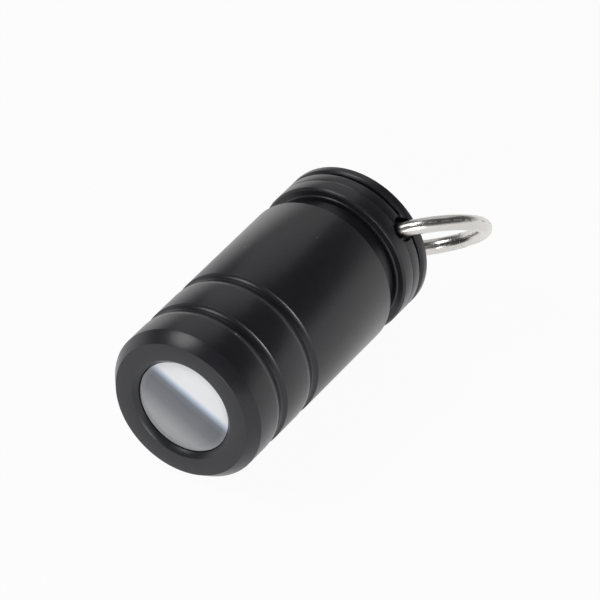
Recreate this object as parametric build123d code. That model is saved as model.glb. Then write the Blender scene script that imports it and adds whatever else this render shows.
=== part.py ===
from build123d import *
import math
import os

# Keychain flashlight: a turned aluminium barrel with a domed lens, a twist-on tail cap that holds
# three button cells against the lamp board, and a split ring through a hole in the cap's rim.
#
# Sizes are millimetres. A "station" is the distance from the flat front face along the long axis,
# so outlines are drawn as (radius, station). The long axis is Y with the tail at +Y, and +Z is up.
# The finished pieces are moved so that the origin lies on the axis, half way along the plain grip.

# ---------------------------------------------------------------- overall
body_diameter = 16.0
barrel_length = 24.84
neck_length = 2.60                 # barrel end to the cap's front face, in the off position
cap_length = 4.30

# ---------------------------------------------------------------- front end
front_ring_diameter = 14.26        # flat ring around the mouth
front_chamfer_length = 1.25
opening_diameter = 9.80
mouth_chamfer = 0.46
lip_depth = 1.30                   # front face to the seat of the lens seal

# ---------------------------------------------------------------- grooves round the head
groove_width = 1.95
groove_depth = 0.40
first_groove_station = 4.95
groove_spacing = 5.56
barrel_end_chamfer = 0.12

# ---------------------------------------------------------------- barrel bores
cell_bore_diameter = 12.20
cap_bore_depth = 5.735
seal_pocket_depth = 1.35

# ---------------------------------------------------------------- lens, reflector and lamp
lens_diameter = 12.00
lens_rim_thickness = 1.00
lens_dome_clearance = 0.10         # between the lens and the opening
lens_crown_depth = 0.10            # crown behind the front face
lens_edge_depth = 0.58             # edge of the dome behind the front face
lens_seal_thickness = 0.50
lens_seal_play = 0.15
reflector_length = 4.40
reflector_mouth_diameter = 10.40
reflector_throat_diameter = 5.20
reflector_throat_length = 0.30
lamp_base_size = 3.45
lamp_base_thickness = 0.80
lamp_chip_size = 1.20
lamp_chip_thickness = 0.15
lamp_dome_diameter = 2.90

# ---------------------------------------------------------------- board and contacts
board_diameter = 12.00
board_thickness = 1.20
resistor_size = (2.00, 0.50, 1.25)
resistor_offset = 3.30
ground_ring_inner_diameter = 10.40
ground_ring_thickness = 0.30
retainer_inner_diameter = 9.80
retainer_length = 0.70
contact_diameter = 3.20
contact_length = 1.205
bore_play = 0.05                   # radial, round pieces that sit in the barrel's bores

# ---------------------------------------------------------------- button cells
cell_count = 3
cell_diameter = 11.60
cell_height = 5.40
cell_wall = 0.25
cell_lid_diameter = 9.60
cell_lid_step = 0.20               # lid standing proud of the can's rim
sleeve_play = 0.03
sleeve_thickness = 0.15
sleeve_end_gap = 0.30

# ---------------------------------------------------------------- twist
thread_pitch = 0.75
twist_degrees = 180.0
twist_stop_clearance = 0.02

# ---------------------------------------------------------------- tail cap
neck_wall = 0.65
shank_length = 5.34                # part of the cap inside the barrel
shank_bore_play = 0.25             # radial, round the cells
cap_floor_thickness = 0.90
cap_step_diameter = 14.56
cap_step_height = 0.16
cap_step_chamfer = 0.13
cap_edge_chamfer = 0.20
tail_rim_wall = 2.60               # from the recess to the cap's side
tail_recess_depth = 3.44
tail_recess_chamfer = 0.30
tail_groove_width = 0.55
tail_groove_depth = 0.60
tail_groove_chamfer = 0.25
tail_rim_length = 0.78             # tail groove's chamfer to the rear end
tail_end_chamfer = 0.15
score_line_setback = 2.70          # fine line round the cap, from the rear end
score_line_width = 0.14
cap_seal_section = 0.50
cap_seal_play = 0.03
seal_pocket_play = 0.02            # radial, outside the cap seal
spring_plate_thickness = 0.25
spring_plate_diameter = 11.00
spring_coil_diameter = 6.40
spring_wire_diameter = 0.28
spring_turns = 2.0
spring_end_play = 0.005

# ---------------------------------------------------------------- split ring and its hole
ring_hole_diameter = 2.50
ring_hole_setback = 1.99           # hole's axis to the rear end
ring_hole_angle = 53.5             # from straight up, towards +X
ring_mean_diameter = 10.74         # through the middle of the wire
ring_section_diameter = 1.52       # both turns together
ring_turn_gap = 0.06
ring_seat_setback = 1.90           # from the cap's side to where the wire crosses the hole squarely
ring_swing_rest = 33.5             # ring's lean out of the plane through the long axis
ring_jog_degrees = 12.0            # stretch where the wire crosses from one turn to the other
ring_jog_overlap = 4.0
ring_jog_width = 1.24
ring_jog_height = 0.66

# ---------------------------------------------------------------- worked out
body_radius = body_diameter / 2
shank_bore_radius = cell_diameter / 2 + shank_bore_play
neck_radius = shank_bore_radius + neck_wall
cap_bore_radius = neck_radius + bore_play
seal_pocket_radius = neck_radius + cap_seal_play + cap_seal_section + seal_pocket_play
tail_recess_radius = body_radius - tail_rim_wall
ring_seat_radius = body_radius - ring_seat_setback
cap_face_station = barrel_length + neck_length
rear_station = cap_face_station + cap_length
second_groove_station = first_groove_station + groove_spacing
grip_start = second_groove_station + groove_width / 2
grip_end = barrel_length - barrel_end_chamfer
grip_station = (grip_start + grip_end) / 2

seal_station = lip_depth
lens_station = seal_station + lens_seal_thickness
reflector_station = lens_station + lens_rim_thickness
board_station = reflector_station + reflector_length
board_back = board_station + board_thickness
retainer_station = board_back + ground_ring_thickness
contact_back = board_back + contact_length

twist_travel = thread_pitch * twist_degrees / 360
cap_bore_shoulder = barrel_length - cap_bore_depth
shank_front = barrel_length - shank_length
cell_station = contact_back + twist_travel + twist_stop_clearance
cells_back = cell_station + cell_count * cell_height
recess_floor = rear_station - tail_recess_depth
cap_floor = recess_floor - cap_floor_thickness
spring_plate_station = cap_floor - spring_plate_thickness
cap_seal_station = barrel_length - seal_pocket_depth / 2 + twist_travel / 2 - cap_seal_play

hole_angle = math.radians(ring_hole_angle)
hole_direction = Vector(math.sin(hole_angle), 0, math.cos(hole_angle))
hole_tangent = Vector(math.cos(hole_angle), 0, -math.sin(hole_angle))
hole_station = rear_station - ring_hole_setback


# ---------------------------------------------------------------- drawing helpers
def turned(*points):
    """Solid turned about the long axis from a closed outline of (radius, station) points."""
    return revolve(make_face(Polyline(*points, close=True)), Axis.Y)


def washer(inner_radius, outer_radius, front, back):
    """Plain ring, or a disc where the inner radius is 0."""
    return turned((inner_radius, front), (outer_radius, front), (outer_radius, back), (inner_radius, back))


def round_ring(mean_radius, section_radius, station):
    """Ring of round section about the long axis."""
    section = Pos(mean_radius, station) * Circle(section_radius)
    return revolve(section, Axis.Y)


def block(size, centre_x, back, centre_z=0.0):
    """Box of (x, along, z) size whose back face lies at a station."""
    return Pos(centre_x, back - size[1] / 2, centre_z) * Box(*size)


# ---------------------------------------------------------------- barrel
def cove_cutter(station):
    """Round-bottomed groove cut to groove_depth and groove_width at the surface."""
    sweep_radius = ((groove_width / 2) ** 2 + groove_depth ** 2) / (2 * groove_depth)
    return round_ring(body_radius - groove_depth + sweep_radius, sweep_radius, station)


def barrel():
    """Head and barrel in one piece: lip round the lens, two coves, plain grip and three bores."""
    opening = opening_diameter / 2
    outline = (
        (opening, mouth_chamfer),
        (opening + mouth_chamfer, 0),
        (front_ring_diameter / 2, 0),
        (body_radius, front_chamfer_length),
        (body_radius, barrel_length - barrel_end_chamfer),
        (body_radius - barrel_end_chamfer, barrel_length),
        (seal_pocket_radius, barrel_length),
        (seal_pocket_radius, barrel_length - seal_pocket_depth),
        (cap_bore_radius, barrel_length - seal_pocket_depth),
        (cap_bore_radius, cap_bore_shoulder),
        (cell_bore_diameter / 2, cap_bore_shoulder),
        (cell_bore_diameter / 2, lip_depth),
        (opening, lip_depth),
    )
    return turned(*outline) - cove_cutter(first_groove_station) - cove_cutter(second_groove_station)


# ---------------------------------------------------------------- lens and lamp
def lens_seal():
    """Flat gasket between the lip and the lens rim."""
    return washer(opening_diameter / 2 + bore_play, cell_bore_diameter / 2 - lens_seal_play,
                  seal_station, lens_station)


def lens():
    """Plano-convex lens: a rim clamped behind the lip, and a plug with a shallow dome that fills the opening."""
    plug = opening_diameter / 2 - lens_dome_clearance
    rise = lens_edge_depth - lens_crown_depth
    dome_radius = (plug ** 2 + rise ** 2) / (2 * rise)
    half = math.asin(plug / dome_radius) / 2
    middle = (dome_radius * math.sin(half), lens_crown_depth + dome_radius * (1 - math.cos(half)))
    rim = lens_diameter / 2
    outline = [
        ThreePointArc((0, lens_crown_depth), middle, (plug, lens_edge_depth)),
        Line((plug, lens_edge_depth), (plug, lens_station)),
        Line((plug, lens_station), (rim, lens_station)),
        Line((rim, lens_station), (rim, reflector_station)),
        Line((rim, reflector_station), (0, reflector_station)),
        Line((0, reflector_station), (0, lens_crown_depth)),
    ]
    return revolve(make_face(outline), Axis.Y)


def reflector():
    """Plated bowl with a parabolic inside and a short throat round the lamp."""
    outer = lens_diameter / 2
    mouth = reflector_mouth_diameter / 2
    throat = reflector_throat_diameter / 2
    throat_front = board_station - reflector_throat_length
    outline = [
        Bezier((mouth, reflector_station), (mouth, throat_front - reflector_length / 3), (throat, throat_front)),
        Line((throat, throat_front), (throat, board_station)),
        Line((throat, board_station), (outer, board_station)),
        Line((outer, board_station), (outer, reflector_station)),
        Line((outer, reflector_station), (mouth, reflector_station)),
    ]
    return revolve(make_face(outline), Axis.Y)


def lamp_base():
    """Square ceramic base of the lamp, on the board's front."""
    return block((lamp_base_size, lamp_base_thickness, lamp_base_size), 0, board_station)


def lamp_chip():
    """Phosphor-coated chip on the base."""
    return block((lamp_chip_size, lamp_chip_thickness, lamp_chip_size), 0, board_station - lamp_base_thickness)


def lamp_dome():
    """Clear dome moulded over the chip."""
    base_front = board_station - lamp_base_thickness
    ball = Pos(0, base_front, 0) * Sphere(lamp_dome_diameter / 2)
    ahead = block((lamp_dome_diameter, lamp_dome_diameter, lamp_dome_diameter), 0, base_front)
    return (ball & ahead) - lamp_chip()


# ---------------------------------------------------------------- board and contacts
def circuit_board():
    """Round board that closes the reflector."""
    return washer(0, board_diameter / 2, board_station, board_back)


def board_resistor():
    """Chip resistor on the board's back."""
    return block(resistor_size, resistor_offset, board_back + resistor_size[1])


def ground_ring():
    """Ring of the board's negative side, pressed against the barrel through the retainer."""
    return washer(ground_ring_inner_diameter / 2, board_diameter / 2, board_back, retainer_station)


def board_retainer():
    """Screwed ring that clamps board, reflector, lens and seal against the lip."""
    return washer(retainer_inner_diameter / 2, cell_bore_diameter / 2 - bore_play,
                  retainer_station, retainer_station + retainer_length)


def positive_contact():
    """Button on the board that the first cell meets when the cap is screwed home."""
    return washer(0, contact_diameter / 2, board_back, contact_back)


# ---------------------------------------------------------------- button cells
def cell_can(front):
    """Positive can, open towards the tail."""
    outer = cell_diameter / 2
    inner = outer - cell_wall
    back = front + cell_height - cell_lid_step
    return turned((0, front), (outer, front), (outer, back), (inner, back), (inner, front + cell_wall),
                  (0, front + cell_wall))


def cell_lid(front):
    """Negative lid with a rim that reaches into the can."""
    outer = cell_lid_diameter / 2
    inner = outer - cell_wall
    back = front + cell_height
    foot = front + cell_height / 2
    return turned((0, back - cell_wall), (inner, back - cell_wall), (inner, foot), (outer, foot), (outer, back),
                  (0, back))


def cell_gasket(front):
    """Insulating ring between lid and can, with a floor under the lid's rim."""
    outer = cell_diameter / 2 - cell_wall
    lid = cell_lid_diameter / 2
    foot = front + cell_height / 2
    floor = foot - cell_wall
    back = front + cell_height - cell_lid_step
    return turned((lid - cell_wall, floor), (outer, floor), (outer, back), (lid, back), (lid, foot),
                  (lid - cell_wall, foot))


def cell_core(front):
    """Active filling of the cell, stepped where the gasket's floor sits on it."""
    wide = cell_diameter / 2 - cell_wall
    narrow = cell_lid_diameter / 2 - cell_wall
    step = front + cell_height / 2 - cell_wall
    return turned((0, front + cell_wall), (wide, front + cell_wall), (wide, step), (narrow, step),
                  (narrow, front + cell_height - cell_wall), (0, front + cell_height - cell_wall))


def cell_sleeve():
    """Thin insulating tube that holds the cells in line."""
    inner = cell_diameter / 2 + sleeve_play
    return washer(inner, inner + sleeve_thickness, cell_station + sleeve_end_gap, cells_back - sleeve_end_gap)


# ---------------------------------------------------------------- tail cap
def ring_hole():
    """Drill for the split ring, from inside the tail recess out through the rim."""
    start = hole_direction * (tail_recess_radius / 2) + Vector(0, hole_station, 0)
    drill = Cylinder(ring_hole_diameter / 2, body_diameter, align=(Align.CENTER, Align.CENTER, Align.MIN))
    return Plane(origin=start, z_dir=hole_direction) * drill


def groove_and_score():
    """Outline points down the cap's side: fine V line, then the square groove with a chamfered rear edge."""
    score = rear_station - score_line_setback
    half = score_line_width / 2
    back = rear_station - tail_rim_length
    wall = back - tail_groove_chamfer
    bottom = body_radius - tail_groove_depth
    return (
        (body_radius, score - half),
        (body_radius - half, score),
        (body_radius, score + half),
        (body_radius, wall - tail_groove_width),
        (bottom, wall - tail_groove_width),
        (bottom, wall),
        (body_radius - tail_groove_chamfer, wall),
        (body_radius, back),
    )


def tail_cap():
    """Cap with its hollow threaded shank, stepped face, grooves, tail recess and ring hole."""
    step = cap_step_diameter / 2
    step_front = cap_face_station - cap_step_height
    recess = tail_recess_radius
    outline = (
        (shank_bore_radius, shank_front),
        (neck_radius, shank_front),
        (neck_radius, step_front),
        (step - cap_step_chamfer, step_front),
        (step, step_front + cap_step_chamfer),
        (step, cap_face_station),
        (body_radius - cap_edge_chamfer, cap_face_station),
        (body_radius, cap_face_station + cap_edge_chamfer),
        *groove_and_score(),
        (body_radius, rear_station - tail_end_chamfer),
        (body_radius - tail_end_chamfer, rear_station),
        (recess + tail_recess_chamfer, rear_station),
        (recess, rear_station - tail_recess_chamfer),
        (recess, recess_floor),
        (0, recess_floor),
        (0, cap_floor),
        (shank_bore_radius, cap_floor),
    )
    return turned(*outline) - ring_hole()


def cap_seal():
    """Rubber ring on the neck, inside the pocket at the barrel's end."""
    section = cap_seal_section / 2
    return round_ring(neck_radius + cap_seal_play + section, section, cap_seal_station)


def spring_plate():
    """Brass disc under the tail spring."""
    return washer(0, spring_plate_diameter / 2, spring_plate_station, cap_floor)


def tail_spring():
    """Short coil between the plate and the last cell's lid."""
    rise = spring_plate_station - cells_back - spring_wire_diameter - 2 * spring_end_play
    start = cells_back + spring_end_play + spring_wire_diameter / 2
    coil = Helix(pitch=rise / spring_turns, height=rise, radius=spring_coil_diameter / 2,
                 center=(0, start, 0), direction=(0, 1, 0))
    section = Plane(origin=coil @ 0, z_dir=coil % 0) * Circle(spring_wire_diameter / 2)
    return sweep(section, path=coil, is_frenet=True)


# ---------------------------------------------------------------- split ring
def ring_plane():
    """Plane of the split ring: x points from the ring's centre to where it crosses the hole."""
    lean = math.radians(ring_swing_rest)
    away = Vector(0, math.cos(lean), 0) + hole_tangent * math.sin(lean)
    seat = hole_direction * ring_seat_radius + Vector(0, hole_station, 0)
    return Plane(origin=seat + away * (ring_mean_diameter / 2), x_dir=-away, z_dir=hole_direction.cross(away))


def ring_turn(side):
    """One turn of half-round wire, on side +1 or -1 of the ring's plane, open where the wire crosses over."""
    radius = ring_section_diameter / 2
    flat = ring_turn_gap / 2
    half_disc = Circle(radius) & Pos(0, side * (flat + radius)) * Rectangle(2 * radius, 2 * radius)
    section = Plane.XZ * Pos(ring_mean_diameter / 2, 0) * half_disc
    turn = revolve(section, Axis.Z, 360 - ring_jog_degrees)
    return Rot(0, 0, 180 + ring_jog_degrees / 2) * turn


def ring_jog():
    """Short slanting stretch where the wire crosses from the lower turn to the upper one."""
    thickness = ring_section_diameter / 2 - ring_turn_gap / 2
    reach = ring_jog_degrees / 2 + ring_jog_overlap
    ends = []
    for side in (-1, 1):
        height = side * (ring_turn_gap / 2 + thickness / 2)
        station = Rot(0, 0, 180 + side * reach) * Pos(ring_mean_diameter / 2, 0, height)
        ends.append(station * Plane.XZ.location * Ellipse(ring_jog_width / 2, ring_jog_height / 2))
    return loft(ends, ruled=True)


def split_ring():
    """Two-turn split ring in the position where it leans out of the rim hole."""
    return ring_plane() * (ring_turn(1) + ring_turn(-1) + ring_jog())


# ---------------------------------------------------------------- assembly
pieces = {
    "barrel": barrel(),
    "lens_seal": lens_seal(),
    "lens": lens(),
    "reflector": reflector(),
    "lamp_base": lamp_base(),
    "lamp_chip": lamp_chip(),
    "lamp_dome": lamp_dome(),
    "circuit_board": circuit_board(),
    "board_resistor": board_resistor(),
    "ground_ring": ground_ring(),
    "board_retainer": board_retainer(),
    "positive_contact": positive_contact(),
    "cell_sleeve": cell_sleeve(),
    "tail_cap": tail_cap(),
    "cap_seal": cap_seal(),
    "spring_plate": spring_plate(),
    "tail_spring": tail_spring(),
    "split_ring": split_ring(),
}
for number in range(1, cell_count + 1):
    front = cell_station + (number - 1) * cell_height
    pieces[f"cell_{number}_can"] = cell_can(front)
    pieces[f"cell_{number}_lid"] = cell_lid(front)
    pieces[f"cell_{number}_gasket"] = cell_gasket(front)
    pieces[f"cell_{number}_core"] = cell_core(front)

os.makedirs("parts", exist_ok=True)
for name, piece in pieces.items():
    export_step(Pos(0, -grip_station, 0) * piece, f"parts/{name}.step")

hinge_point = hole_direction * ring_seat_radius + Vector(0, hole_station - grip_station, 0)
ring_centre = ring_plane().origin - Vector(0, grip_station, 0)
print("grip from", round(grip_start - grip_station, 3), "to", round(grip_end - grip_station, 3))
print("front face at", round(-grip_station, 4), "rear end at", round(rear_station - grip_station, 4))
print("ring hinge point", hinge_point, "axis", hole_direction)
print("ring centre", ring_centre, "normal", ring_plane().z_dir)
print("cells move", round(twist_travel, 4), "for", twist_degrees, "degrees")
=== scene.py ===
"""Looks of the keychain flashlight: turned black metal, domed lens, rubber seals and a nickel split ring."""
import logging
import math
from dataclasses import dataclass, field
from enum import Enum
from typing import Any, Callable, Dict, List, Optional, Sequence, Tuple

import bpy
from mathutils import Matrix, Vector


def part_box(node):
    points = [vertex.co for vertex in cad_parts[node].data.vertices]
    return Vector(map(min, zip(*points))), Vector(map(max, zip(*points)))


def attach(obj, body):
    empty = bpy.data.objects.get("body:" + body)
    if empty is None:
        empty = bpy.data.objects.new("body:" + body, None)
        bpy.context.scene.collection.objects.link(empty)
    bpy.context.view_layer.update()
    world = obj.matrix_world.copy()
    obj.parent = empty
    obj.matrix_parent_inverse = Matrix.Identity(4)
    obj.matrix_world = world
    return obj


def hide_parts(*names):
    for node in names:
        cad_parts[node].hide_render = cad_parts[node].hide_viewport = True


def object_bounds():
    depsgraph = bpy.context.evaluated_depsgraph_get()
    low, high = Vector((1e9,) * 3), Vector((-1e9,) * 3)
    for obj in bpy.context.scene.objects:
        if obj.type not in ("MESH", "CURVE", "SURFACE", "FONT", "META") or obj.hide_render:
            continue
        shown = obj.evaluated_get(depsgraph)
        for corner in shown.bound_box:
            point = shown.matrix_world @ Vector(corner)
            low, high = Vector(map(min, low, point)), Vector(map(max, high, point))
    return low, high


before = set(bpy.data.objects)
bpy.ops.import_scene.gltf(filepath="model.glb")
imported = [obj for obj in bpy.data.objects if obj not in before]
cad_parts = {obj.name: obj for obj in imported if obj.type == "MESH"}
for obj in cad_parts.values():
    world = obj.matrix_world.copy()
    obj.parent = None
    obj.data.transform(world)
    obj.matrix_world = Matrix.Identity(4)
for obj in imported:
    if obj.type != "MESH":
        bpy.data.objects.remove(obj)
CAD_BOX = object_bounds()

Point = Tuple[float, float]
Colour = Tuple[float, float, float, float]
Stops = Sequence[Tuple[float, Colour]]
Nick = Tuple[Tuple[float, float, float], float, float]

MM = 0.001
MERGE_DISTANCE = 1e-7
SHARP_EDGE = math.radians(24)
LOG = logging.getLogger("flashlight")

# The ring hole: how far its middle is from the cap's rear face, and its angle from straight up.
HOLE_SETBACK = 1.99 * MM
HOLE_ANGLE = math.radians(53.5)


class Finish(Enum):
    """Names of the finishes, so that each material is made once."""

    ANODISED = "black_anodised"
    RUBBER = "black_rubber"
    LENS = "lens_face"
    PLATING = "reflector_plating"
    NICKEL = "nickel_plate"
    STEEL = "bright_steel"
    BRASS = "turned_brass"
    LAMINATE = "board_laminate"
    MOULDED = "moulded_plastic"
    CERAMIC = "white_ceramic"


Finishes = Dict[Finish, bpy.types.Material]


# ---------------------------------------------------------------- shader maths
class Value:
    """A shader socket that can be used in ordinary sums."""

    def __init__(self, shader: "Shader", socket: Any) -> None:
        """Wraps a socket.

        Args:
            shader: The shader that the socket belongs to.
            socket: The node output that carries the value.
        """
        self.shader = shader
        self.socket = socket

    def _maths(self, operation: str, first: Any, second: Any) -> "Value":
        """Adds one Math node."""
        return self.shader.node("ShaderNodeMath", {"operation": operation}, {0: first, 1: second})

    def __add__(self, other: Any) -> "Value":
        """Sum."""
        return self._maths("ADD", self, other)

    def __radd__(self, other: Any) -> "Value":
        """Sum, reflected."""
        return self._maths("ADD", other, self)

    def __sub__(self, other: Any) -> "Value":
        """Difference."""
        return self._maths("SUBTRACT", self, other)

    def __rsub__(self, other: Any) -> "Value":
        """Difference, reflected."""
        return self._maths("SUBTRACT", other, self)

    def __mul__(self, other: Any) -> "Value":
        """Product."""
        return self._maths("MULTIPLY", self, other)

    def __rmul__(self, other: Any) -> "Value":
        """Product, reflected."""
        return self._maths("MULTIPLY", other, self)


class Shader:
    """The nodes of a material or of the world, built from expressions."""

    def __init__(self, owner: Any) -> None:
        """Starts from the nodes that a new material or world has.

        Args:
            owner: The new material or world.
        """
        owner.use_nodes = True
        self.owner = owner
        self.tree = owner.node_tree
        self.surface = self.tree.nodes.get("Principled BSDF") or self.tree.nodes["Background"]

    def give(self, socket: Any, given: Any) -> None:
        """Links a Value to a socket, or sets the socket's own number or colour.

        Args:
            socket: The input.
            given: A Value, a number or a colour.
        """
        if isinstance(given, Value):
            self.tree.links.new(given.socket, socket)
        else:
            socket.default_value = given

    def node(self, kind: str, settings: Optional[Dict[str, Any]] = None,
             values: Optional[Dict[Any, Any]] = None, out: Any = 0) -> Value:
        """Adds any node.

        Args:
            kind: The node's type.
            settings: Attributes set before the sockets; "stops" fills a colour ramp.
            values: Socket name or number to a number, colour or Value.
            out: The output to return.

        Returns:
            The chosen output.
        """
        made = self.tree.nodes.new(kind)
        for key, setting in (settings or {}).items():
            if key == "stops":
                fill_ramp(made.color_ramp, setting)
            else:
                setattr(made, key, setting)
        for key, given in (values or {}).items():
            self.give(made.inputs[key], given)
        return Value(self, made.outputs[out])

    def set(self, **values: Any) -> None:
        """Sets sockets of the surface, or of a world's background.

        Args:
            **values: Socket names, with underscores for spaces, and what each is given.
        """
        for key, given in values.items():
            self.give(self.surface.inputs[key.replace("_", " ")], given)

    def place(self) -> Value:
        """Object coordinates, which are the part's own frame in metres."""
        return self.node("ShaderNodeTexCoord", out="Object")

    def parts(self, vector: Value) -> List[Value]:
        """Splits a vector.

        Args:
            vector: The vector.

        Returns:
            Its x, y and z.
        """
        split = self.node("ShaderNodeSeparateXYZ", {}, {0: vector})
        outputs = split.socket.node.outputs
        return [Value(self, outputs[index]) for index in range(3)]

    def from_axis(self, x: Value, z: Value) -> Value:
        """Distance from the long axis."""
        across = self.node("ShaderNodeCombineXYZ", {}, {"X": x, "Z": z})
        return self.node("ShaderNodeVectorMath", {"operation": "LENGTH"}, {0: across}, "Value")

    def noise(self, scale: float, detail: float = 3.0, stretch: Sequence[float] = (1, 1, 1)) -> Value:
        """Noise over the object coordinates.

        Args:
            scale: Cells per metre.
            detail: Octaves.
            stretch: Scale along each axis.

        Returns:
            The noise, from 0 to 1.
        """
        moved = self.node("ShaderNodeMapping", {}, {"Vector": self.place(), "Scale": tuple(stretch)})
        return self.node("ShaderNodeTexNoise", {}, {"Vector": moved, "Scale": scale, "Detail": detail}, "Fac")

    def ramp(self, fac: Value, stops: Stops) -> Value:
        """A colour ramp."""
        return self.node("ShaderNodeValToRGB", {"stops": stops}, {"Fac": fac}, "Color")

    def blend(self, fac: Any, first: Any, second: Any) -> Value:
        """Mixes two colours."""
        return self.node("ShaderNodeMix", {"data_type": "RGBA"}, {0: fac, 6: first, 7: second}, 2)

    def relief(self, height: Value, distance: float) -> Value:
        """Normal from a height, with the height of 1 given as a distance in metres."""
        values = {"Height": height, "Distance": distance, "Strength": 1.0}
        return self.node("ShaderNodeBump", {}, values, "Normal")


def fill_ramp(ramp: Any, stops: Stops) -> None:
    """Gives a colour ramp its stops.

    Args:
        ramp: The colour ramp of a node.
        stops: Position and colour of each stop.
    """
    while len(ramp.elements) < len(stops):
        ramp.elements.new(0.5)
    for element, (position, colour) in zip(ramp.elements, stops):
        element.position = position
        element.color = colour


def grey(level: float) -> Colour:
    """A neutral colour."""
    return (level, level, level, 1.0)


# ---------------------------------------------------------------- finishes
@dataclass(frozen=True)
class AnodisedFinish:
    """Black anodised aluminium with fine turning marks round the axis.

    Args:
        colour: Colour of the dye.
        worn: Colour where the dye is thin.
        bare: Colour of bare aluminium in the nicks.
        roughness: Satin level.
        mark_pitch: Distance between turning marks, in metres.
        mark_spread: Change of roughness over the turning marks.
        mottle_grain: Cells per metre of the uneven dye.
        mottle_spread: Change of roughness over the uneven dye.
        speck_grain: Cells per metre of the fine surface specks.
        speck_height: Height of the specks, against the turning marks.
        ragged_grain: Cells per metre of the nicks' uneven outline.
        ragged_least: Least stretch of that outline.
        ragged_range: How far the stretch goes beyond the least.
        nick_depth: Depth of a nick, against the turning marks.
        relief: Height of the turning marks, in metres.
        nicks: Middle, radius and brightness of each small nick.
    """

    colour: Colour = (0.0110, 0.0110, 0.0145, 1)
    worn: Colour = (0.0190, 0.0190, 0.0240, 1)
    bare: Colour = (0.34, 0.34, 0.36, 1)
    roughness: float = 0.32
    mark_pitch: float = 0.00016
    mark_spread: float = 0.10
    mottle_grain: float = 900
    mottle_spread: float = 0.06
    speck_grain: float = 9000
    speck_height: float = 0.5
    ragged_grain: float = 11000
    ragged_least: float = 0.55
    ragged_range: float = 0.9
    nick_depth: float = 6
    relief: float = 0.0000022
    nicks: Tuple[Nick, ...] = (
        ((0.00335, -0.01361, 0.00722), 0.00024, 0.90),
        ((0.00372, -0.01357, 0.00703), 0.00015, 0.60),
        ((0.00222, 0.00276, 0.00769), 0.00016, 0.22),
        ((-0.00305, -0.00169, 0.00740), 0.00022, 0.12),
        ((-0.00275, -0.00150, 0.00752), 0.00015, 0.10),
    )

    def build(self) -> bpy.types.Material:
        """Builds the material.

        Returns:
            The material.
        """
        shader = Shader(bpy.data.materials.new(Finish.ANODISED.value))
        x, along, z = shader.parts(shader.place())
        travel = (along + shader.from_axis(x, z)) * (1 / self.mark_pitch)
        stretched = shader.node("ShaderNodeCombineXYZ", {}, {"X": travel})
        lined = {"Vector": stretched, "Scale": 1.0, "Detail": 2.0}
        marks = shader.node("ShaderNodeTexNoise", {}, lined, "Fac")
        mottle = shader.noise(self.mottle_grain)
        ragged = shader.noise(self.ragged_grain) * self.ragged_range + self.ragged_least
        dye = shader.blend(mottle, self.colour, self.worn)
        dents = marks + shader.noise(self.speck_grain, 2) * self.speck_height
        for middle, radius, brightness in self.nicks:
            reach = shader.node("ShaderNodeVectorMath", {"operation": "DISTANCE"},
                                {0: shader.place(), 1: middle}, "Value")
            depth = shader.node("ShaderNodeMath", {"operation": "SUBTRACT", "use_clamp": True},
                                {0: 1.0, 1: reach * ragged * (1 / radius)})
            dye = shader.blend(depth * brightness, dye, self.bare)
            dents = dents - depth * self.nick_depth
        smoothest = self.roughness - (self.mark_spread + self.mottle_spread) / 2
        shader.set(Base_Color=dye,
                   Roughness=marks * self.mark_spread + mottle * self.mottle_spread + smoothest,
                   Normal=shader.relief(dents, self.relief),
                   Specular_IOR_Level=0.46, Coat_Weight=0.08, Coat_Roughness=0.20)
        return shader.owner


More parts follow.
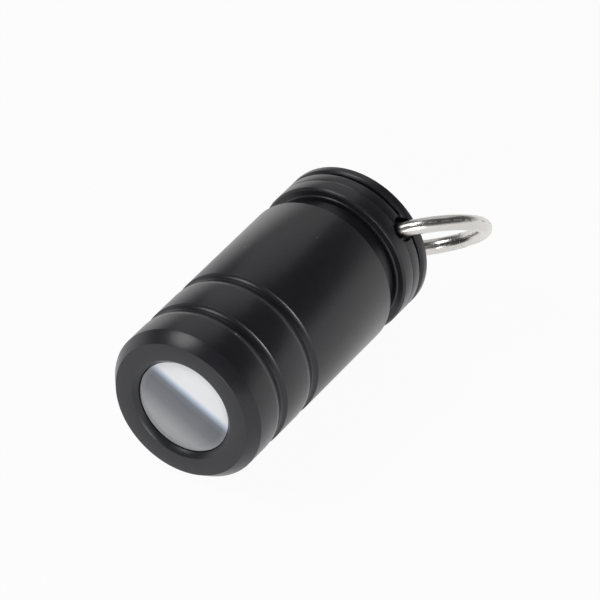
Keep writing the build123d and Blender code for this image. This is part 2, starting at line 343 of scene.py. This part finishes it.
@dataclass(frozen=True)
class LensFinish:
    """Dome over a bright bowl, drawn as one surface: the bowl's light and shade are painted into its colour.

    Args:
        direction: Direction across the face (x, z) in which the painted bowl turns from shaded to light.
        edge: Where the light side starts on the dome's edge, in metres from the axis.
        slant: How far the light side's border moves outwards for each metre of depth.
        dome_rise: Height of the dome over its edge, in metres.
        bowl: Radius of the dome's edge, in metres.
        bowl_light_and_shade: Painted shade to painted light across the bowl, with a painted bluish reflection
            between.
        rim: Colour of the painted reflection near the dome's edge.
        rim_reflection_share: How much of the painted rim reflection shows.
        haze: Colour of the faint clouds and streaks.
        cloud_grain: Cells per metre of the clouds.
        streak_grain: Cells per metre of the streaks.
    """

    direction: Point = (0.465, 0.885)
    edge: float = 0.00168
    slant: float = 1.04
    dome_rise: float = 0.00048
    bowl: float = 0.0049
    # Painted light and shade of the bowl, from the shaded side to the light one, bluish where they meet.
    bowl_light_and_shade: Tuple[Tuple[float, Colour], ...] = (
        (0.0, (0.32, 0.325, 0.335, 1)),
        (0.20, (0.145, 0.152, 0.166, 1)),
        (0.36, (0.096, 0.105, 0.124, 1)),
        (0.43, (0.135, 0.153, 0.186, 1)),
        (0.475, (0.38, 0.45, 0.56, 1)),
        (0.50, (0.60, 0.68, 0.79, 1)),
        (0.53, (0.88, 0.885, 0.90, 1)),
        (1.0, (0.90, 0.90, 0.90, 1)),
    )
    # Painted reflection near the dome's edge.
    rim: Colour = (0.50, 0.51, 0.53, 1)
    rim_reflection_share: float = 0.25
    haze: Colour = (0.40, 0.41, 0.44, 1)
    cloud_grain: float = 420
    streak_grain: float = 260

    def build(self) -> bpy.types.Material:
        """Builds the material.

        Returns:
            The material.
        """
        shader = Shader(bpy.data.materials.new(Finish.LENS.value))
        x, along, z = shader.parts(shader.place())
        depth = along - (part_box("lens")[0].y + self.dome_rise)
        side = x * self.direction[0] + z * self.direction[1] + depth * self.slant - self.edge
        across = side * (0.5 / self.bowl) + 0.5
        # Painted light and shade: a ramp across the face from the bowl's shaded side to its light side.
        bowl_shading = shader.ramp(across, self.bowl_light_and_shade)
        # Painted reflection near the dome's edge: the colour is drawn towards the rim colour there.
        rim = shader.ramp(shader.from_axis(x, z) * (1 / self.bowl), ((0.86, grey(0)), (0.99, grey(1))))
        cloud = shader.noise(self.cloud_grain)
        streaks = shader.noise(self.streak_grain, 2, (1.0, 1.0, 3.5))
        lit = shader.blend(rim * self.rim_reflection_share, bowl_shading, self.rim)
        shader.set(Base_Color=shader.blend(cloud * 0.10 + streaks * 0.06, lit, self.haze),
                   Roughness=cloud * 0.04 + 0.10, Coat_Weight=0.6, Coat_Roughness=0.03,
                   Specular_IOR_Level=0.25)
        return shader.owner


@dataclass(frozen=True)
class MetalFinish:
    """Bare or plated metal with fine grain.

    Args:
        finish: Which metal.
        colour: Colour of the metal.
        roughness: Middle roughness.
        grain: Grain cells per metre.
        spread: Change of roughness over the grain.
        tarnish: How dark the tarnished patches are, against the colour.
        patch_size: Size of the patches, in grain cells.
        relief: Height of the grain, in metres.
    """

    finish: Finish
    colour: Colour
    roughness: float = 0.2
    grain: float = 4000
    spread: float = 0.10
    tarnish: float = 0.78
    patch_size: float = 12
    relief: float = 0.0000015

    def build(self) -> bpy.types.Material:
        """Builds the material.

        Returns:
            The material.
        """
        shader = Shader(bpy.data.materials.new(self.finish.value))
        grain = shader.noise(self.grain)
        patches = shader.noise(self.grain / self.patch_size, 2)
        darker = tuple(channel * self.tarnish for channel in self.colour[:3]) + (1,)
        shader.set(Base_Color=shader.blend(patches, self.colour, darker), Metallic=1.0,
                   Roughness=grain * self.spread + (self.roughness - self.spread / 2),
                   Normal=shader.relief(grain, self.relief))
        return shader.owner


@dataclass(frozen=True)
class PlainFinish:
    """Rubber, laminate, ceramic or moulded plastic with a fine surface grain.

    Args:
        finish: Which stuff.
        colour: Its colour.
        shade: The colour of its darker flecks.
        roughness: Middle roughness.
        spread: Change of roughness over the flecks.
        fleck_grain: Flecks per metre.
        relief: Height of the flecks, in metres.
    """

    finish: Finish
    colour: Colour
    shade: Colour
    roughness: float = 0.6
    spread: float = 0.2
    fleck_grain: float = 2600
    relief: float = 0.000004

    def build(self) -> bpy.types.Material:
        """Builds the material.

        Returns:
            The material.
        """
        shader = Shader(bpy.data.materials.new(self.finish.value))
        fleck = shader.noise(self.fleck_grain, 4)
        shader.set(Base_Color=shader.blend(fleck, self.colour, self.shade),
                   Roughness=fleck * self.spread + (self.roughness - self.spread / 2),
                   Normal=shader.relief(fleck, self.relief))
        return shader.owner


def all_finishes() -> Finishes:
    """Builds every finish once.

    Returns:
        The material of each finish.
    """
    green, deep_green = (0.01, 0.13, 0.05, 1), (0.01, 0.09, 0.04, 1)
    cream, deep_cream = (0.55, 0.54, 0.50, 1), (0.45, 0.44, 0.40, 1)
    return {
        Finish.ANODISED: AnodisedFinish().build(),
        Finish.LENS: LensFinish().build(),
        Finish.RUBBER: PlainFinish(Finish.RUBBER, grey(0.008), grey(0.016), 0.55).build(),
        Finish.PLATING: MetalFinish(Finish.PLATING, (0.82, 0.83, 0.85, 1), 0.12).build(),
        Finish.NICKEL: MetalFinish(Finish.NICKEL, (0.80, 0.775, 0.745, 1), 0.26, 2600).build(),
        Finish.STEEL: MetalFinish(Finish.STEEL, (0.62, 0.62, 0.63, 1), 0.28).build(),
        Finish.BRASS: MetalFinish(Finish.BRASS, (0.78, 0.57, 0.26, 1), 0.3).build(),
        Finish.LAMINATE: PlainFinish(Finish.LAMINATE, green, deep_green, 0.4).build(),
        Finish.MOULDED: PlainFinish(Finish.MOULDED, cream, deep_cream, 0.5).build(),
        Finish.CERAMIC: PlainFinish(Finish.CERAMIC, grey(0.8), grey(0.7), 0.5).build(),
    }


# ---------------------------------------------------------------- modelling
def deselect() -> None:
    """Leaves edit mode with nothing selected."""
    if bpy.context.object and bpy.context.object.mode != "OBJECT":
        bpy.ops.object.mode_set(mode="OBJECT")
    bpy.ops.object.select_all(action="DESELECT")


def pick(piece: bpy.types.Object) -> None:
    """Selects one piece alone and makes it the active one.

    Args:
        piece: The piece.
    """
    deselect()
    piece.select_set(True)
    bpy.context.view_layer.objects.active = piece


def apply_place(piece: bpy.types.Object) -> None:
    """Moves an object's place into its mesh."""
    pick(piece)
    bpy.ops.object.transform_apply(location=True, rotation=True, scale=True)


def apply_modifiers(piece: bpy.types.Object) -> None:
    """Applies every modifier of a piece.

    Args:
        piece: The piece.
    """
    pick(piece)
    for modifier in list(piece.modifiers):
        bpy.ops.object.modifier_apply(modifier=modifier.name)


def smooth(piece: bpy.types.Object, degrees: float = 28) -> None:
    """Smooth shading except across edges sharper than an angle."""
    pick(piece)
    bpy.ops.object.shade_smooth_by_angle(angle=math.radians(degrees))


def soften(piece: bpy.types.Object, width: float) -> None:
    """Rounds the sharp edges of a piece and applies the rounding.

    Args:
        piece: The piece.
        width: Width of the rounding, in metres.
    """
    bevel = piece.modifiers.new("edge_round", "BEVEL")
    bevel.width = width
    bevel.segments = 2
    bevel.limit_method = "ANGLE"
    bevel.angle_limit = SHARP_EDGE
    apply_modifiers(piece)


def close_up() -> None:
    """Merges the doubled points of the mesh in edit mode, faces it outwards and leaves edit mode."""
    bpy.ops.mesh.select_all(action="SELECT")
    bpy.ops.mesh.remove_doubles(threshold=MERGE_DISTANCE)
    bpy.ops.mesh.normals_make_consistent(inside=False)
    bpy.ops.object.mode_set(mode="OBJECT")


def turn(name: str, outline: Sequence[Point], sides: int) -> bpy.types.Object:
    """Turns a closed outline about the long axis, one extruded ring for each point.

    Args:
        name: The piece's name.
        outline: (radius, station) points in metres; a radius of 0 may stand only at the first or last point.
        sides: Divisions round the axis.

    Returns:
        The piece, with its place in its mesh.
    """
    deselect()
    points = list(outline)
    opens_on_axis = points[0][0] == 0
    closes_on_axis = points[-1][0] == 0
    if opens_on_axis:
        points.pop(0)
    if closes_on_axis:
        points.pop()
    first = points[0]
    bpy.ops.mesh.primitive_circle_add(vertices=sides, radius=first[0], fill_type="NOTHING",
                                      location=(0, first[1], 0), rotation=(math.pi / 2, 0, 0))
    piece = bpy.context.object
    piece.name = name
    piece.data.name = name
    apply_place(piece)
    bpy.ops.object.mode_set(mode="EDIT")
    bpy.ops.mesh.select_mode(type="EDGE")
    bpy.ops.mesh.select_all(action="SELECT")
    if opens_on_axis:
        bpy.ops.mesh.extrude_region_move()
        bpy.ops.transform.translate(value=(0, outline[0][1] - first[1], 0))
        bpy.ops.mesh.merge(type="CENTER")
        bpy.ops.mesh.select_all(action="DESELECT")
        bpy.ops.mesh.select_non_manifold(extend=False, use_wire=False, use_boundary=True,
                                         use_multi_face=False, use_non_contiguous=False, use_verts=False)
    here = first
    route = points[1:] + ([] if closes_on_axis or opens_on_axis else [first])
    for there in route:
        bpy.ops.mesh.extrude_region_move(TRANSFORM_OT_translate={"value": (0, there[1] - here[1], 0)})
        ratio = there[0] / here[0]
        bpy.ops.transform.resize(value=(ratio, 1, ratio), center_override=(0, there[1], 0))
        here = there
    if closes_on_axis:
        bpy.ops.mesh.extrude_region_move(TRANSFORM_OT_translate={"value": (0, outline[-1][1] - here[1], 0)})
        bpy.ops.mesh.merge(type="CENTER")
    close_up()
    return piece


def dress(piece: bpy.types.Object, material: bpy.types.Material, body: str, node: str) -> None:
    """Gives a piece its finish and its body, and hides the node that it stands for.

    Args:
        piece: The piece.
        material: Its finish.
        body: The body that it rides on.
        node: The node that it replaces.
    """
    piece.data.materials.clear()
    piece.data.materials.append(material)
    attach(piece, body)
    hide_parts(node)
    LOG.info("%s: %d faces on %s", piece.name, len(piece.data.polygons), body)


def hole_direction() -> Vector:
    """Direction of the ring hole, outwards from the long axis."""
    return Vector((math.sin(HOLE_ANGLE), 0, math.cos(HOLE_ANGLE)))


# ---------------------------------------------------------------- sub-assemblies
@dataclass
class Head:
    """Barrel, lens and lens seal. Sizes in metres, stations from the front face."""

    finishes: Finishes
    front_ring: float = 7.13 * MM
    front_chamfer: float = 1.25 * MM
    opening: float = 4.90 * MM
    mouth_chamfer: float = 0.46 * MM
    lip: float = 1.30 * MM
    cove_half: float = 0.975 * MM
    cove_depth: float = 0.38 * MM
    cove_bottom: float = 1.36 * MM
    cove_ease: float = 1.25
    cove_steps: int = 9
    shoulder_length: float = 0.42 * MM
    shoulder_slope: float = math.radians(4)
    coves: Tuple[float, float] = (4.95 * MM, 10.51 * MM)
    end_chamfer: float = 0.12 * MM
    edge_round: float = 0.022 * MM
    cell_bore: float = 6.10 * MM
    cap_bore: float = 6.75 * MM
    cap_bore_depth: float = 5.735 * MM
    pocket_bore: float = 7.25 * MM
    pocket_depth: float = 1.35 * MM
    lens_clearance: float = 0.10 * MM
    lens_edge: float = 0.58 * MM
    lens_rim: float = 1.00 * MM
    dome_steps: int = 18
    gasket_clearance: float = 0.05 * MM
    gasket_round: float = 0.06 * MM
    barrel_sides: int = 192
    lens_sides: int = 128
    gasket_sides: int = 96
    front: float = field(default_factory=lambda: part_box("barrel")[0].y)
    end: float = field(default_factory=lambda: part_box("barrel")[1].y)
    radius: float = field(default_factory=lambda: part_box("barrel")[1].z)

    def cove(self, station: float) -> List[Point]:
        """Outline of one groove: slight shoulder, long slope in, then a steep round rise to a sharp rear edge.

        Args:
            station: Middle of the groove, from the front face.

        Returns:
            Its points from the front edge to the rear edge.
        """
        front = self.front + station - self.cove_half
        shoulder = self.shoulder_length * math.tan(self.shoulder_slope)
        slope_length = self.cove_bottom - self.shoulder_length
        points = [(self.radius, front)]
        for index in range(self.cove_steps + 1):
            share = index / self.cove_steps
            sunk = shoulder + (self.cove_depth - shoulder) * (1 - (1 - share) ** self.cove_ease)
            points.append((self.radius - sunk, front + self.shoulder_length + slope_length * share))
        rise = 2 * self.cove_half - self.cove_bottom
        sweep = (rise ** 2 + self.cove_depth ** 2) / (2 * self.cove_depth)
        for index in range(1, self.cove_steps + 1):
            turned = math.asin(rise / sweep) * index / self.cove_steps
            points.append((self.radius - self.cove_depth + sweep * (1 - math.cos(turned)),
                           front + self.cove_bottom + sweep * math.sin(turned)))
        return points

    def barrel(self) -> None:
        """Head and barrel in one turned piece."""
        pocket = self.end - self.pocket_depth
        shoulder = self.end - self.cap_bore_depth
        seat = self.front + self.lip
        outline = [
            (self.opening, self.front + self.mouth_chamfer),
            (self.opening + self.mouth_chamfer, self.front),
            (self.front_ring, self.front),
            (self.radius, self.front + self.front_chamfer),
            *self.cove(self.coves[0]),
            *self.cove(self.coves[1]),
            (self.radius, self.end - self.end_chamfer),
            (self.radius - self.end_chamfer, self.end),
            (self.pocket_bore, self.end),
            (self.pocket_bore, pocket),
            (self.cap_bore, pocket),
            (self.cap_bore, shoulder),
            (self.cell_bore, shoulder),
            (self.cell_bore, seat),
            (self.opening, seat),
        ]
        piece = turn("barrel_shell", outline, self.barrel_sides)
        soften(piece, self.edge_round)
        smooth(piece)
        dress(piece, self.finishes[Finish.ANODISED], "barrel_body", "barrel")

    def lens(self) -> None:
        """Lens with its clamped rim and the shallow dome that fills the opening."""
        low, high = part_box("lens")
        plug = self.opening - self.lens_clearance
        edge = self.front + self.lens_edge
        rim_front = high.y - self.lens_rim
        rise = edge - low.y
        dome = (plug * plug + rise * rise) / (2 * rise)
        reach = math.asin(plug / dome)
        turns = [reach * index / self.dome_steps for index in range(1, self.dome_steps + 1)]
        skin = [(dome * math.sin(angle), low.y + dome * (1 - math.cos(angle))) for angle in turns]
        outline = [(0, low.y), *skin, (plug, rim_front), (high.x, rim_front), (high.x, high.y), (0, high.y)]
        piece = turn("lens_dome", outline, self.lens_sides)
        smooth(piece, degrees=35)
        dress(piece, self.finishes[Finish.LENS], "barrel_body", "lens")

    def seal(self) -> None:
        """Rubber gasket that shows as a thin dark line round the dome."""
        low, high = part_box("lens_seal")
        inner = self.opening + self.gasket_clearance
        outline = [(inner, low.y), (high.x, low.y), (high.x, high.y), (inner, high.y)]
        piece = turn("lens_gasket", outline, self.gasket_sides)
        soften(piece, self.gasket_round)
        smooth(piece)
        dress(piece, self.finishes[Finish.RUBBER], "barrel_body", "lens_seal")

    def build(self) -> None:
        """Builds the whole head."""
        self.barrel()
        self.lens()
        self.seal()


@dataclass
class Cap:
    """Twist-on tail cap with its seal. Sizes in metres, stations forward from the rear end."""

    finishes: Finishes
    neck: float = 6.70 * MM
    shank_bore: float = 6.05 * MM
    step: float = 7.28 * MM
    step_height: float = 0.16 * MM
    step_chamfer: float = 0.13 * MM
    edge_chamfer: float = 0.20 * MM
    edge_round: float = 0.022 * MM
    face: float = 4.30 * MM
    recess: float = 5.40 * MM
    recess_depth: float = 3.44 * MM
    recess_chamfer: float = 0.30 * MM
    floor: float = 0.90 * MM
    groove_width: float = 0.55 * MM
    groove_depth: float = 0.60 * MM
    groove_chamfer: float = 0.25 * MM
    rim: float = 0.78 * MM
    end_chamfer: float = 0.15 * MM
    score: float = 2.70 * MM
    score_half: float = 0.045 * MM
    hole: float = 1.25 * MM
    drill_length: float = 8 * MM
    drill_inset: float = 1.5 * MM
    cap_sides: int = 192
    hole_sides: int = 64
    seal_sides: int = 128
    seal_steps: int = 20
    end: float = field(default_factory=lambda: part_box("tail_cap")[1].y)
    shank_front: float = field(default_factory=lambda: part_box("tail_cap")[0].y)
    radius: float = field(default_factory=lambda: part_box("tail_cap")[1].z)

    def outline(self) -> List[Point]:
        """Draws the cap before the ring hole.

        Returns:
            Its closed outline, from the axis round to the axis.
        """
        face = self.end - self.face
        wall = self.end - self.rim - self.groove_chamfer
        score = self.end - self.score
        recess_floor = self.end - self.recess_depth
        bottom = self.radius - self.groove_depth
        return [
            (0, recess_floor - self.floor),
            (self.shank_bore, recess_floor - self.floor),
            (self.shank_bore, self.shank_front),
            (self.neck, self.shank_front),
            (self.neck, face - self.step_height),
            (self.step - self.step_chamfer, face - self.step_height),
            (self.step, face - self.step_height + self.step_chamfer),
            (self.step, face),
            (self.radius - self.edge_chamfer, face),
            (self.radius, face + self.edge_chamfer),
            (self.radius, score - self.score_half),
            (self.radius - self.score_half, score),
            (self.radius, score + self.score_half),
            (self.radius, wall - self.groove_width),
            (bottom, wall - self.groove_width),
            (bottom, wall),
            (self.radius - self.groove_chamfer, wall),
            (self.radius, self.end - self.rim),
            (self.radius, self.end - self.end_chamfer),
            (self.radius - self.end_chamfer, self.end),
            (self.recess + self.recess_chamfer, self.end),
            (self.recess, self.end - self.recess_chamfer),
            (self.recess, recess_floor),
            (0, recess_floor),
        ]

    def drill(self) -> bpy.types.Object:
        """Makes the cutter for the ring hole.

        Returns:
            A plain cylinder along the hole, from inside the recess to outside the cap.
        """
        deselect()
        outward = hole_direction()
        reach = self.recess - self.drill_inset + self.drill_length / 2
        middle = outward * reach + Vector((0, self.end - HOLE_SETBACK, 0))
        tilt = outward.to_track_quat("Z", "Y").to_euler()
        bpy.ops.mesh.primitive_cylinder_add(vertices=self.hole_sides, radius=self.hole,
                                            depth=self.drill_length, location=middle, rotation=tilt)
        cutter = bpy.context.object
        apply_place(cutter)
        return cutter

    def build_cap(self) -> None:
        """Turns the cap and drills the ring hole."""
        piece = turn("cap_shell", self.outline(), self.cap_sides)
        soften(piece, self.edge_round)
        cutter = self.drill()
        cut = piece.modifiers.new("ring_hole", "BOOLEAN")
        cut.operation = "DIFFERENCE"
        cut.object = cutter
        cut.solver = "EXACT"
        apply_modifiers(piece)
        bpy.data.objects.remove(cutter)
        smooth(piece)
        dress(piece, self.finishes[Finish.ANODISED], "cap_body", "tail_cap")

    def build_seal(self) -> None:
        """Round rubber ring in the pocket at the barrel's end."""
        low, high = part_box("cap_seal")
        section = (high.y - low.y) / 2
        radius, station = high.x - section, (low.y + high.y) / 2
        angles = [2 * math.pi * index / self.seal_steps for index in range(self.seal_steps)]
        outline = [(radius + section * math.cos(a), station + section * math.sin(a)) for a in angles]
        piece = turn("neck_seal", outline, self.seal_sides)
        smooth(piece, degrees=60)
        dress(piece, self.finishes[Finish.RUBBER], "cap_body", "cap_seal")

    def build(self) -> None:
        """Builds the cap and its seal."""
        self.build_cap()
        self.build_seal()


@dataclass
class KeyRing:
    """Split ring of two half-round turns with the crossing of the wire between them. Sizes in metres."""

    finishes: Finishes
    mean: float = 5.37 * MM
    section: float = 0.76 * MM
    gap: float = 0.03 * MM
    corner: float = 0.07 * MM
    jog: float = math.radians(12)
    jog_overlap: float = math.radians(1)
    crossing_inset: float = 0.035 * MM
    crossing_at: float = math.pi
    seat: float = 6.10 * MM
    lean: float = math.radians(33.5)
    wire_sides: int = 40
    turn_steps: int = 150
    crossing_steps: int = 12

    def place(self) -> Matrix:
        """Finds where the ring hangs.

        Returns:
            The ring's place: x towards the hole, z square to the ring.
        """
        outward = hole_direction()
        tangent = Vector((math.cos(HOLE_ANGLE), 0, -math.sin(HOLE_ANGLE)))
        away = Vector((0, math.cos(self.lean), 0)) + tangent * math.sin(self.lean)
        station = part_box("tail_cap")[1].y - HOLE_SETBACK
        centre = outward * self.seat + Vector((0, station, 0)) + away * self.mean
        normal = outward.cross(away)
        across = normal.cross(-away)
        place = Matrix((-away, across, normal)).transposed().to_4x4()
        place.translation = centre
        return place

    def wire_section(self, radius: float, reach: float) -> bpy.types.Object:
        """Adds the filled circle that wire is spun from.

        Args:
            radius: Radius of the wire.
            reach: Distance of the wire from the ring's middle.

        Returns:
            The circle, in edit mode and selected all over.
        """
        deselect()
        bpy.ops.mesh.primitive_circle_add(vertices=self.wire_sides, radius=radius, fill_type="NGON",
                                          location=(reach, 0, 0), rotation=(math.pi / 2, 0, 0))
        wire = bpy.context.object
        apply_place(wire)
        bpy.ops.object.mode_set(mode="EDIT")
        bpy.ops.mesh.select_all(action="SELECT")
        return wire

    def wire_turn(self, side: int) -> bpy.types.Object:
        """One turn of half-round wire, spun from its section.

        Args:
            side: 1 for the turn above the gap, or -1 for the one below it.

        Returns:
            The turn, about the ring's own middle.
        """
        wire = self.wire_section(self.section, 0)
        bpy.ops.mesh.bisect(plane_co=(0, 0, side * self.gap), plane_no=(0, 0, side), use_fill=False,
                            clear_inner=True)
        bpy.ops.mesh.select_all(action="SELECT")
        bpy.ops.mesh.bevel(offset=self.corner, segments=2, affect="VERTICES")
        bpy.ops.mesh.select_all(action="SELECT")
        bpy.ops.transform.translate(value=(self.mean, 0, 0))
        sweep = 2 * math.pi - self.jog
        bpy.ops.mesh.spin(steps=self.turn_steps, angle=sweep, center=(0, 0, 0), axis=(0, 0, 1))
        close_up()
        return wire

    def crossing(self) -> bpy.types.Object:
        """The short stretch where the wire steps over from one turn to the other.

        Returns:
            The stretch, about the ring's own middle.
        """
        wire = self.wire_section(self.section - self.crossing_inset, self.mean)
        sweep = self.jog + 2 * self.jog_overlap
        bpy.ops.mesh.spin(steps=self.crossing_steps, angle=sweep, center=(0, 0, 0), axis=(0, 0, 1))
        close_up()
        points = [vertex.co for vertex in wire.data.vertices]
        drawn_at = math.atan2(sum(point.y for point in points), sum(point.x for point in points))
        wire.data.transform(Matrix.Rotation(self.crossing_at - drawn_at, 4, "Z"))
        return wire

    def open_angle(self, points: Sequence[Vector]) -> float:
        """Finds the gap in a turn.

        Args:
            points: The turn's points.

        Returns:
            Angle of the middle of the gap.
        """
        angles = sorted(math.atan2(point.y, point.x) for point in points)
        gaps = [(after - before, (after + before) / 2) for before, after in zip(angles, angles[1:])]
        gaps.append((angles[0] + 2 * math.pi - angles[-1], (angles[0] + angles[-1]) / 2 + math.pi))
        return max(gaps)[1]

    def build(self) -> None:
        """Builds both turns and the crossing as one piece."""
        upper, lower = self.wire_turn(1), self.wire_turn(-1)
        for wire in (upper, lower):
            gap_at = self.open_angle([vertex.co for vertex in wire.data.vertices])
            wire.data.transform(Matrix.Rotation(self.crossing_at - gap_at, 4, "Z"))
        bead = self.crossing()
        pick(upper)
        lower.select_set(True)
        bead.select_set(True)
        bpy.ops.object.join()
        piece = bpy.context.object
        piece.name = "key_ring"
        piece.data.name = "key_ring"
        piece.data.transform(self.place())
        smooth(piece, degrees=40)
        dress(piece, self.finishes[Finish.NICKEL], "ring_body", "split_ring")


@dataclass
class Inside:
    """The pieces inside, which keep their own shapes and get their finishes."""

    finishes: Finishes

    def build(self) -> None:
        """Dresses every piece inside."""
        dressed = {
            "reflector": Finish.PLATING, "lamp_base": Finish.CERAMIC, "lamp_chip": Finish.CERAMIC,
            "lamp_dome": Finish.CERAMIC, "circuit_board": Finish.LAMINATE, "board_resistor": Finish.RUBBER,
            "ground_ring": Finish.BRASS, "board_retainer": Finish.BRASS, "positive_contact": Finish.BRASS,
            "cell_sleeve": Finish.MOULDED, "spring_plate": Finish.BRASS, "tail_spring": Finish.STEEL,
        }
        cell_parts = {
            "can": Finish.STEEL, "lid": Finish.STEEL, "gasket": Finish.MOULDED, "core": Finish.RUBBER,
        }
        for number in (1, 2, 3):
            for part, finish in cell_parts.items():
                dressed[f"cell_{number}_{part}"] = finish
        for name, finish in dressed.items():
            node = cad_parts[name]
            node.data.materials.clear()
            node.data.materials.append(self.finishes[finish])
            LOG.info("%s: %s", name, finish.value)


# ---------------------------------------------------------------- studio
@dataclass(frozen=True)
class Softbox:
    """One square area lamp that faces the object.

    Args:
        name: The lamp's name.
        towards: Direction from the object to the lamp.
        distance: Distance to the lamp, in metres.
        size: Side of the lamp, in metres.
        power: Watts.
    """

    name: str
    towards: Tuple[float, float, float]
    distance: float
    size: float
    power: float

    def hang(self) -> None:
        """Adds the lamp."""
        data = bpy.data.lights.new(self.name, "AREA")
        data.shape = "SQUARE"
        data.size = self.size
        data.energy = self.power
        lamp = bpy.data.objects.new(self.name, data)
        bpy.context.scene.collection.objects.link(lamp)
        direction = Vector(self.towards).normalized()
        lamp.location = direction * self.distance
        lamp.rotation_mode = "QUATERNION"
        lamp.rotation_quaternion = direction.to_track_quat("Z", "Y")


@dataclass
class Studio:
    """Floor, soft light and camera. Angles in degrees, places in metres, lens and sensor in millimetres."""

    azimuth: float = 31.11
    elevation: float = 36.29
    distance: float = 0.6085
    target: Vector = field(default_factory=lambda: Vector((0.0012, 0.0013, 0.0009)))
    lens: float = 386.3
    sensor: float = 36.0
    floor_side: float = 6
    floor_gap: float = 0.00002
    floor_glow: float = 0.95
    room_light: Tuple[Tuple[float, Colour], ...] = (
        (0.0, grey(1.0)), (0.12, grey(0.95)), (0.40, grey(0.10)), (1.0, grey(0.06)),
    )
    softboxes: Tuple[Softbox, ...] = (
        Softbox("overhead", (-0.42, -0.32, 0.85), 0.40, 0.18, 0.50),
        Softbox("rear_left", (-0.34, 0.62, 0.70), 0.50, 0.34, 0.22),
        Softbox("front_fill", (0.25, -0.95, 0.15), 0.35, 0.10, 0.45),
    )

    def floor(self) -> None:
        """Pale floor that keeps a faint shadow of the object."""
        deselect()
        height = CAD_BOX[0].z - self.floor_gap
        bpy.ops.mesh.primitive_plane_add(size=self.floor_side, location=(0, 0, height))
        floor = bpy.context.object
        floor.name = "floor"
        shader = Shader(bpy.data.materials.new("pale_floor"))
        path = shader.node("ShaderNodeLightPath", out="Is Camera Ray")
        outputs = path.socket.node.outputs
        mirrored = Value(shader, outputs["Is Glossy Ray"])
        seen = path + mirrored + Value(shader, outputs["Is Transmission Ray"])
        shader.set(Base_Color=grey(0.9), Roughness=0.9)
        glow = shader.node("ShaderNodeEmission", {}, {"Color": grey(1.0), "Strength": 1.0})
        plain = Value(shader, shader.surface.outputs[0])
        lit = shader.node("ShaderNodeMixShader", {}, {0: seen * self.floor_glow, 1: plain, 2: glow})
        shader.give(shader.tree.nodes["Material Output"].inputs["Surface"], lit)
        floor.data.materials.append(shader.owner)

    def sky(self) -> None:
        """Room light: white low down, dim overhead, plain white behind the object."""
        world = bpy.data.worlds.new("room")
        bpy.context.scene.world = world
        shader = Shader(world)
        up = shader.parts(shader.node("ShaderNodeTexCoord", out="Generated"))[2]
        seen = shader.node("ShaderNodeLightPath", out="Is Camera Ray")
        shader.set(Color=shader.blend(seen, shader.ramp(up, self.room_light), grey(1.0)))

    def camera(self) -> None:
        """Long-lens camera above and to the right of the lens end."""
        data = bpy.data.cameras.new("camera")
        data.lens = self.lens
        data.sensor_width = self.sensor
        camera = bpy.data.objects.new("camera", data)
        bpy.context.scene.collection.objects.link(camera)
        a, e = math.radians(self.azimuth), math.radians(self.elevation)
        back = Vector((math.sin(a) * math.cos(e), -math.cos(a) * math.cos(e), math.sin(e)))
        camera.location = self.target + back * self.distance
        camera.rotation_mode = "QUATERNION"
        camera.rotation_quaternion = back.to_track_quat("Z", "Y")
        bpy.context.scene.camera = camera

    def build(self) -> None:
        """Builds the whole studio."""
        bpy.context.scene.view_settings.view_transform = "Standard"
        self.floor()
        self.sky()
        for softbox in self.softboxes:
            softbox.hang()
        self.camera()


def main() -> None:
    """Builds the flashlight and its studio."""
    logging.basicConfig(level=logging.INFO, format="%(name)s: %(message)s")
    finishes = all_finishes()
    makers: List[Callable[[], None]] = [
        Studio().build,
        Head(finishes).build,
        Cap(finishes).build,
        KeyRing(finishes).build,
        Inside(finishes).build,
    ]
    for make in makers:
        make()


if __name__ == "__main__":
    main()
